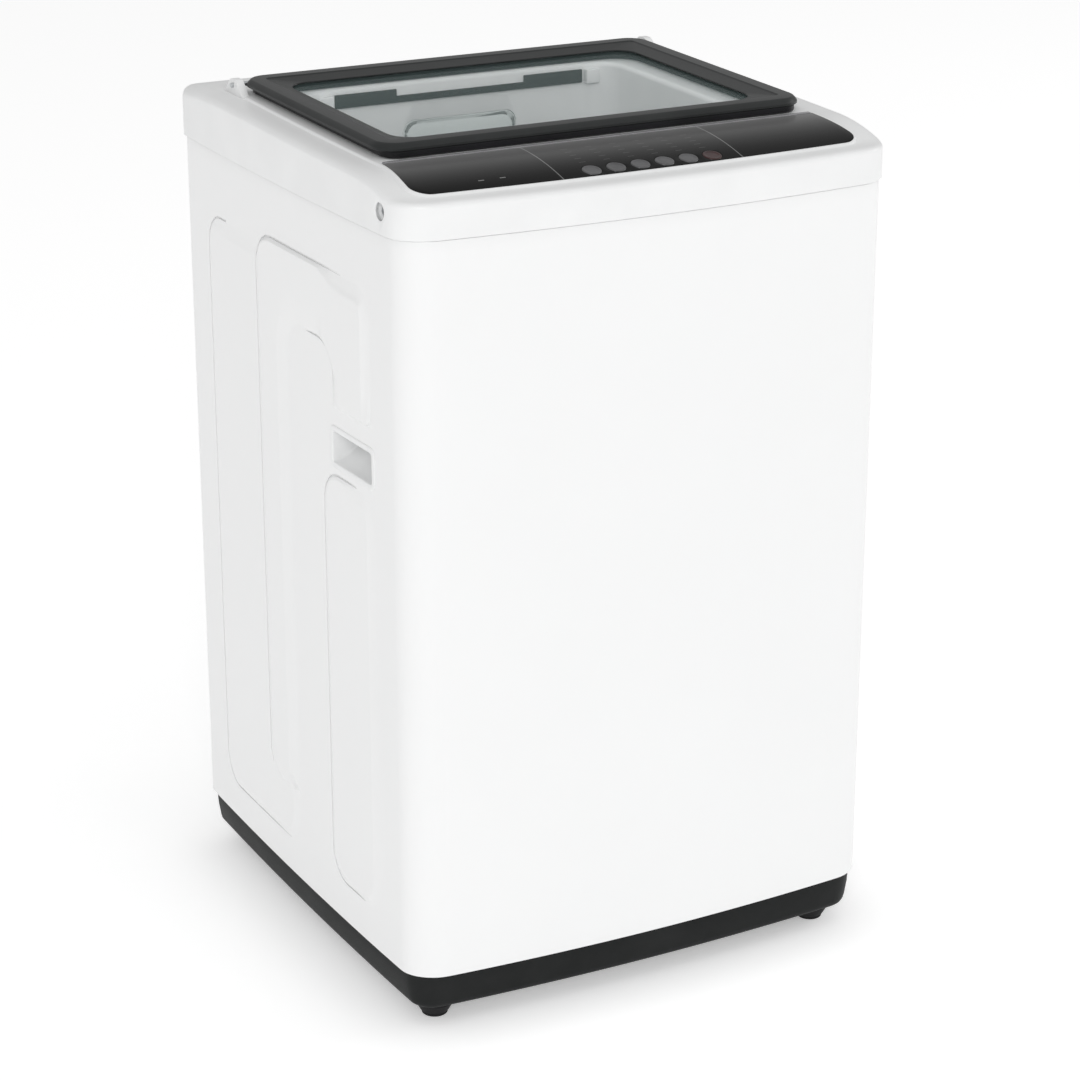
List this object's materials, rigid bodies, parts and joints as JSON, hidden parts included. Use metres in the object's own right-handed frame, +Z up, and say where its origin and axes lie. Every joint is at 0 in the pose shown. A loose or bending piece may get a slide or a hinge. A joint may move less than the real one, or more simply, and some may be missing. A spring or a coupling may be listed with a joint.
{
  "type": "top load washing machine",
  "caption": "White free-standing washing machine with a hinged glass lid on top, a sloping control panel in front of it, and a sprung tub with a spinning basket inside.",
  "frame": {"origin": "on the floor under the middle of the machine, at the centre of its bounding box's bottom face", "axes": "+Z up, the front with the control panel faces -Y, +X to the right of someone standing behind the origin and looking along +Y"},
  "size_m": [0.5398, 0.54, 0.871],
  "materials": {
    "white_enamel": "gloss white enamel on steel sheet",
    "zinc_sheet": "zinc-coated steel sheet",
    "white_plastic": "gloss white moulded plastic",
    "charcoal_plastic": "satin charcoal moulded plastic",
    "foot_plastic": "matte black hard rubber-like plastic",
    "black_plastic": "satin black plastic",
    "panel_gloss": "high-gloss black panel film",
    "grey_trim": "silver-grey painted strip",
    "circuit_board": "green lacquered board",
    "grey_button": "semi-gloss grey plastic",
    "red_button": "semi-gloss dark red plastic",
    "tinted_glass": "clear toughened glass, faint green tint",
    "pale_plastic": "pale grey-white moulded plastic",
    "valve_plastic": "off-white glass-filled plastic",
    "stainless": "satin stainless steel",
    "zinc_steel": "zinc-plated steel",
    "cast_aluminium": "as-cast aluminium",
    "motor_steel": "pressed zinc-plated motor casing",
    "belt_rubber": "black belt rubber"
  },
  "bodies": {
    "cabinet": {"cabinet_shell": "white_enamel", "rear_panel": "zinc_sheet", "side_handle_left": "white_plastic", "side_handle_right": "white_plastic", "base_plinth": "charcoal_plastic", "foot_rear_left": "foot_plastic", "foot_rear_right": "foot_plastic", "drain_outlet": "black_plastic", "power_cord_gland": "black_plastic", "top_cover": "white_plastic", "opening_trim": "charcoal_plastic", "side_screw_left": "zinc_sheet", "side_screw_right": "zinc_sheet", "control_panel": "panel_gloss", "panel_trim_strip": "grey_trim", "control_board": "circuit_board", "drawer_housing": "pale_plastic", "water_inlet_valve": "valve_plastic", "suspension_rod_front_left": "zinc_steel", "suspension_rod_front_right": "zinc_steel", "suspension_rod_rear_left": "zinc_steel", "suspension_rod_rear_right": "zinc_steel", "suspension_spring_front_left": "zinc_steel", "suspension_spring_front_right": "zinc_steel", "suspension_spring_rear_left": "zinc_steel", "suspension_spring_rear_right": "zinc_steel", "corner_bracket_front_left": "zinc_sheet", "corner_bracket_front_right": "zinc_sheet", "corner_bracket_rear_left": "zinc_sheet", "corner_bracket_rear_right": "zinc_sheet"},
    "front_left_foot": {"foot_front_left": "foot_plastic"},
    "front_right_foot": {"foot_front_right": "foot_plastic"},
    "lid": {"lid_upper_frame": "charcoal_plastic", "lid_lower_frame": "black_plastic", "lid_glass": "tinted_glass", "hinge_pin_left": "zinc_steel", "hinge_pin_right": "zinc_steel"},
    "program_key": {"program_button": "grey_button"},
    "water_level_key": {"water_level_button": "grey_button"},
    "wash_key": {"wash_button": "grey_button"},
    "rinse_key": {"rinse_button": "grey_button"},
    "start_key": {"start_button": "grey_button"},
    "power_key": {"power_button": "red_button"},
    "drawer": {"detergent_drawer": "pale_plastic"},
    "tub": {"outer_tub": "pale_plastic", "tub_cover": "white_plastic", "mounting_plate": "zinc_sheet", "gearbox": "cast_aluminium", "motor": "motor_steel", "drive_belt": "belt_rubber", "drain_valve": "black_plastic"},
    "basket": {"spin_basket": "stainless", "balance_ring": "pale_plastic", "lint_filter": "white_plastic", "spin_shaft": "stainless"},
    "agitator": {"pulsator": "pale_plastic", "wash_shaft": "stainless"},
    "large_pulley": {"drive_pulley": "cast_aluminium"},
    "small_pulley": {"motor_pulley": "cast_aluminium"}
  },
  "joints": [
    {"name": "lid_hinge", "type": "hinge", "parent": "cabinet", "child": "lid", "pos_m": [0, 0.178, 0.864], "axis": [-1, 0, 0], "range_deg": [0, 95]},
    {"name": "program_press", "type": "slide", "parent": "cabinet", "child": "program_key", "axis": [0, 0, -1], "range_m": [0, 0.001], "stiffness_N_per_m": 800, "springref_m": -0.0005},
    {"name": "water_level_press", "type": "slide", "parent": "cabinet", "child": "water_level_key", "axis": [0, 0, -1], "range_m": [0, 0.001], "stiffness_N_per_m": 800, "springref_m": -0.0005},
    {"name": "wash_press", "type": "slide", "parent": "cabinet", "child": "wash_key", "axis": [0, 0, -1], "range_m": [0, 0.001], "stiffness_N_per_m": 800, "springref_m": -0.0005},
    {"name": "rinse_press", "type": "slide", "parent": "cabinet", "child": "rinse_key", "axis": [0, 0, -1], "range_m": [0, 0.001], "stiffness_N_per_m": 800, "springref_m": -0.0005},
    {"name": "start_press", "type": "slide", "parent": "cabinet", "child": "start_key", "axis": [0, 0, -1], "range_m": [0, 0.001], "stiffness_N_per_m": 800, "springref_m": -0.0005},
    {"name": "power_press", "type": "slide", "parent": "cabinet", "child": "power_key", "axis": [0, 0, -1], "range_m": [0, 0.001], "stiffness_N_per_m": 800, "springref_m": -0.0005},
    {"name": "drawer_slide", "type": "slide", "parent": "cabinet", "child": "drawer", "axis": [0, -1, 0], "range_m": [0, 0.06]},
    {"name": "tub_suspension", "type": "slide", "parent": "cabinet", "child": "tub", "axis": [0, 0, 1], "range_m": [-0.025, 0.01], "stiffness_N_per_m": 14000, "springref_m": 0.0188, "deforming": ["suspension_spring_front_left", "suspension_spring_front_right", "suspension_spring_rear_left", "suspension_spring_rear_right"]},
    {"name": "basket_spin", "type": "hinge", "parent": "tub", "child": "basket", "pos_m": [0, 0, 0.214], "axis": [0, 0, 1], "continuous": true},
    {"name": "pulsator_spin", "type": "hinge", "parent": "tub", "child": "agitator", "pos_m": [0, 0, 0.222], "axis": [0, 0, 1], "continuous": true},
    {"name": "drive_pulley_spin", "type": "hinge", "parent": "tub", "child": "large_pulley", "pos_m": [0, 0, 0.1014], "axis": [0, 0, 1], "continuous": true},
    {"name": "motor_spin", "type": "hinge", "parent": "tub", "child": "small_pulley", "pos_m": [0.172, 0, 0.1014], "axis": [0, 0, 1], "continuous": true},
    {"name": "foot_front_left_screw", "type": "hinge", "parent": "cabinet", "child": "front_left_foot", "pos_m": [-0.222, -0.215, 0.01], "axis": [0, 0, 1], "continuous": true},
    {"name": "foot_front_right_screw", "type": "hinge", "parent": "cabinet", "child": "front_right_foot", "pos_m": [0.222, -0.215, 0.01], "axis": [0, 0, 1], "continuous": true}
  ],
  "couplings": [
    {"joint": "drive_pulley_spin", "follows": "pulsator_spin", "ratio": 5},
    {"joint": "motor_spin", "follows": "pulsator_spin", "ratio": 16.8}
  ]
}
